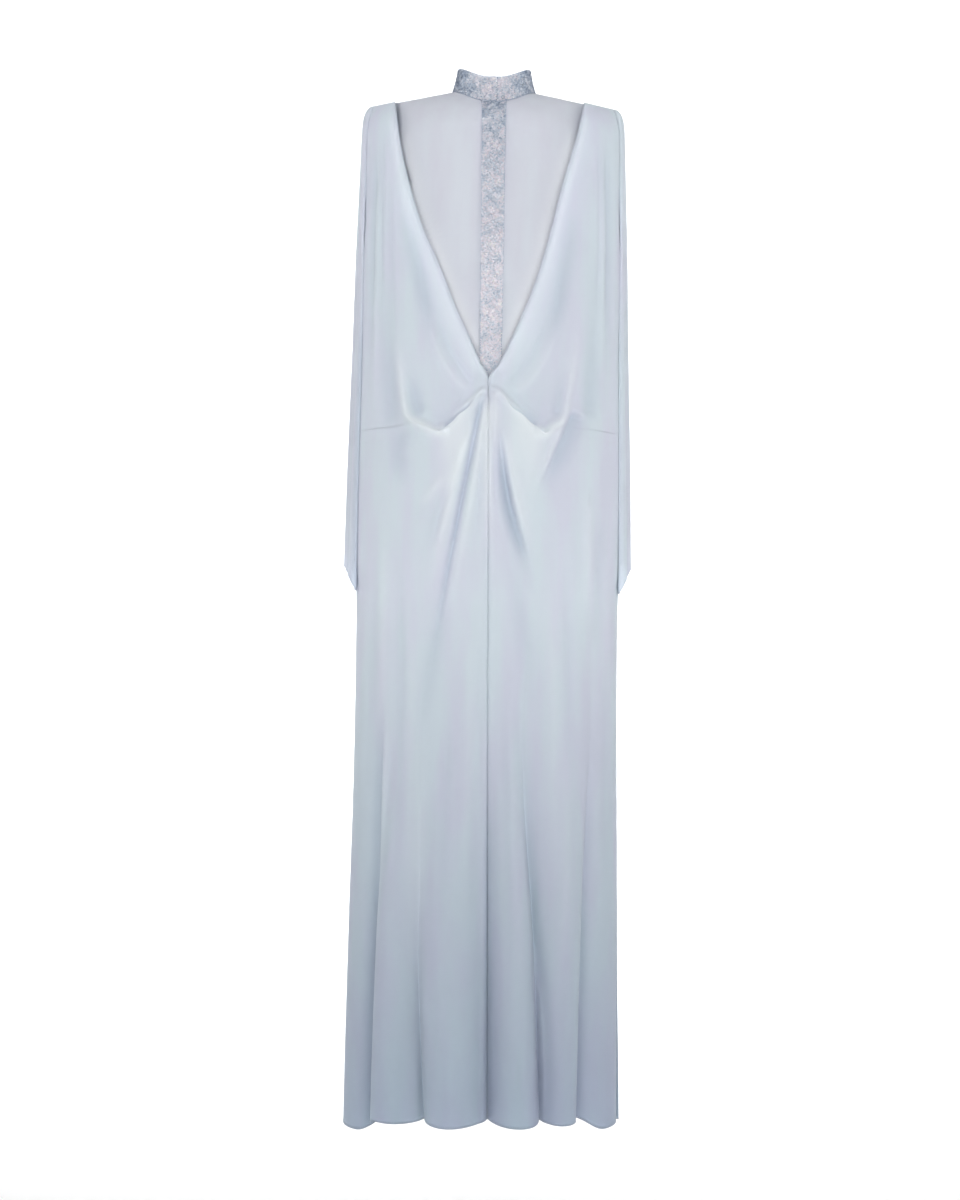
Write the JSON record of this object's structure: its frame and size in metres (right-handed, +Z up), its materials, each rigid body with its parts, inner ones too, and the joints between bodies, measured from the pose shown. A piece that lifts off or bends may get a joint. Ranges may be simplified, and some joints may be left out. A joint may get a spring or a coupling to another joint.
{
  "type": "chiffon kaftan gown",
  "caption": "Floor-length chiffon kaftan with a beaded stand collar and front band, a deep V gathered at the waist and long open hanging sleeves.",
  "frame": {"origin": "middle of the neck opening, level with the points where the shoulder seams meet the collar, where the garment hangs from the neck and shoulders", "axes": "+Z up, the wearer faces -Y, +X is the wearer's left"},
  "size_m": [0.4318, 0.3129, 1.5834],
  "materials": {
    "chiffon": "soft pale ice-blue silk-look chiffon, matt with a faint sheen, nearly opaque in two layers",
    "sheer_chiffon": "flat sheer pale blue-grey chiffon in one layer",
    "sequins": "small overlapping iridescent silver-blue sequins sewn close on cloth, with lilac and pink glints"
  },
  "bodies": {
    "root": {"collar": "sequins", "front_band": "sequins", "bodice_front_right": "sheer_chiffon", "bodice_front_left": "sheer_chiffon", "bodice_back": "sheer_chiffon", "front_right": "chiffon", "front_left": "chiffon", "back_right": "chiffon", "back_left": "chiffon", "skirt_right": "chiffon", "skirt_left": "chiffon", "skirt_back": "chiffon", "sleeve_right_front": "chiffon", "sleeve_right_back": "chiffon", "sleeve_right_under": "chiffon", "sleeve_left_front": "chiffon", "sleeve_left_back": "chiffon", "sleeve_left_under": "chiffon"}
  },
  "joints": []
}
